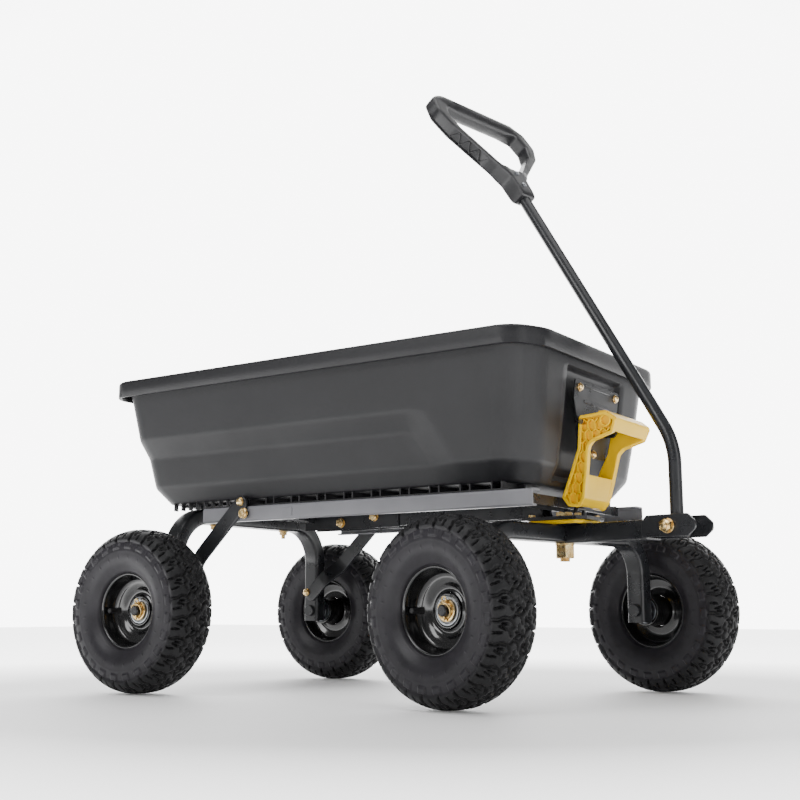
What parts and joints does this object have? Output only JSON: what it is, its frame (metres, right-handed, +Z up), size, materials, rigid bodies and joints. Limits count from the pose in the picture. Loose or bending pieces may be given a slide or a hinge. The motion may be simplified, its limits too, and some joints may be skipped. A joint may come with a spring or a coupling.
{
  "type": "garden cart",
  "caption": "Garden dump cart: a moulded tub on a steel frame with pneumatic wheels, a steerable front axle, a swinging pull handle with a D grip, and a lift-up dump release.",
  "frame": {"origin": "on the ground under the middle of the cart's bounding box, with the front axle turned as at rest", "axes": "+X towards the pulling end, +Y to the cart's left side, +Z up"},
  "size_m": [0.9996, 0.6344, 0.9813],
  "materials": {
    "tyre_rubber": "matte moulded rubber",
    "rim_gloss_black": "gloss black paint",
    "bearing_steel": "ground steel",
    "valve_rubber": "black rubber",
    "tub_polyethylene": "lightly textured charcoal",
    "rail_grey_coat": "satin grey powder coat",
    "yellow_plastic": "satin yellow moulding",
    "grip_plastic": "black moulding",
    "zinc_steel": "bright zinc",
    "yellow_zinc": "yellow zinc plate",
    "black_powder_coat": "semi-gloss black powder coat"
  },
  "bodies": {
    "chassis": {"spine_rear_channel": "black_powder_coat", "spine_front_channel": "black_powder_coat", "spine_bolts": "yellow_zinc", "steering_pivot_plate": "black_powder_coat", "steering_wear_plate": "yellow_plastic", "wear_plate_bolts": "yellow_zinc", "kingpin_bolt": "yellow_zinc", "kingpin_nut_and_washer": "yellow_zinc", "latch_striker": "black_powder_coat"},
    "bed": {"tub": "tub_polyethylene", "tub_bolts": "yellow_zinc", "side_rail_left": "rail_grey_coat", "side_rail_right": "rail_grey_coat", "front_cross_member": "black_powder_coat", "rear_mounting_plate": "black_powder_coat", "rear_axle_arch": "black_powder_coat", "arch_bolts": "yellow_zinc", "bed_pivot_rod": "yellow_zinc", "rear_brace_left": "black_powder_coat", "rear_brace_right": "black_powder_coat", "brace_bolts": "yellow_zinc", "axle_rear_left": "black_powder_coat", "axle_rear_right": "black_powder_coat", "axle_washers_rear": "yellow_zinc", "cotter_pins_rear": "yellow_zinc", "latch_plate": "black_powder_coat", "latch_plate_bolts": "yellow_zinc", "release_pin": "yellow_zinc", "release_spring": "zinc_steel"},
    "release_lever": {"release_handle": "yellow_plastic"},
    "front_axle": {"front_axle_arch": "black_powder_coat", "axle_front_left": "black_powder_coat", "axle_front_right": "black_powder_coat", "axle_washers_front": "yellow_zinc", "cotter_pins_front": "yellow_zinc", "tongue_tube": "black_powder_coat", "clevis_ear_left": "black_powder_coat", "clevis_ear_right": "black_powder_coat", "handle_pivot_bolt": "yellow_zinc", "handle_pivot_nut": "yellow_zinc"},
    "pull_handle": {"handle_sleeve": "black_powder_coat", "handle_tube": "black_powder_coat", "grip": "grip_plastic", "grip_screws": "yellow_zinc"},
    "wheel_rear_left": {"tyre_rear_left": "tyre_rubber", "rim_rear_left": "rim_gloss_black", "bearings_rear_left": "bearing_steel", "valve_rear_left": "valve_rubber"},
    "wheel_rear_right": {"tyre_rear_right": "tyre_rubber", "rim_rear_right": "rim_gloss_black", "bearings_rear_right": "bearing_steel", "valve_rear_right": "valve_rubber"},
    "wheel_front_left": {"tyre_front_left": "tyre_rubber", "rim_front_left": "rim_gloss_black", "bearings_front_left": "bearing_steel", "valve_front_left": "valve_rubber"},
    "wheel_front_right": {"tyre_front_right": "tyre_rubber", "rim_front_right": "rim_gloss_black", "bearings_front_right": "bearing_steel", "valve_front_right": "valve_rubber"}
  },
  "joints": [
    {"name": "bed_dump", "type": "hinge", "parent": "chassis", "child": "bed", "pos_m": [-0.212, 0, 0.284], "axis": [0, -1, 0], "range_deg": [0, 50]},
    {"name": "release_lift", "type": "hinge", "parent": "bed", "child": "release_lever", "pos_m": [0.324, 0, 0.402], "axis": [0, -1, 0], "range_deg": [0, 14], "stiffness_Nm_per_rad": 1.5, "springref_deg": -14.32},
    {"name": "front_steer", "type": "hinge", "parent": "chassis", "child": "front_axle", "pos_m": [0.26, 0, 0.244], "axis": [0, 0, 1], "range_deg": [-19.5, 40.5]},
    {"name": "pull_handle_swing", "type": "hinge", "parent": "front_axle", "child": "pull_handle", "pos_m": [0.45272, -0.03572, 0.246], "axis": [0.1822, 0.9833, 0], "range_deg": [0, 125]},
    {"name": "wheel_rear_left_roll", "type": "hinge", "parent": "bed", "child": "wheel_rear_left", "pos_m": [-0.37, 0.26, 0.13], "axis": [0, 1, 0], "continuous": true},
    {"name": "wheel_front_left_roll", "type": "hinge", "parent": "front_axle", "child": "wheel_front_left", "pos_m": [0.30738, 0.25565, 0.13], "axis": [0.1822, 0.9833, 0], "continuous": true},
    {"name": "wheel_rear_right_roll", "type": "hinge", "parent": "bed", "child": "wheel_rear_right", "pos_m": [-0.37, -0.26, 0.13], "axis": [0, 1, 0], "continuous": true},
    {"name": "wheel_front_right_roll", "type": "hinge", "parent": "front_axle", "child": "wheel_front_right", "pos_m": [0.21262, -0.25565, 0.13], "axis": [0.1822, 0.9833, 0], "continuous": true}
  ]
}
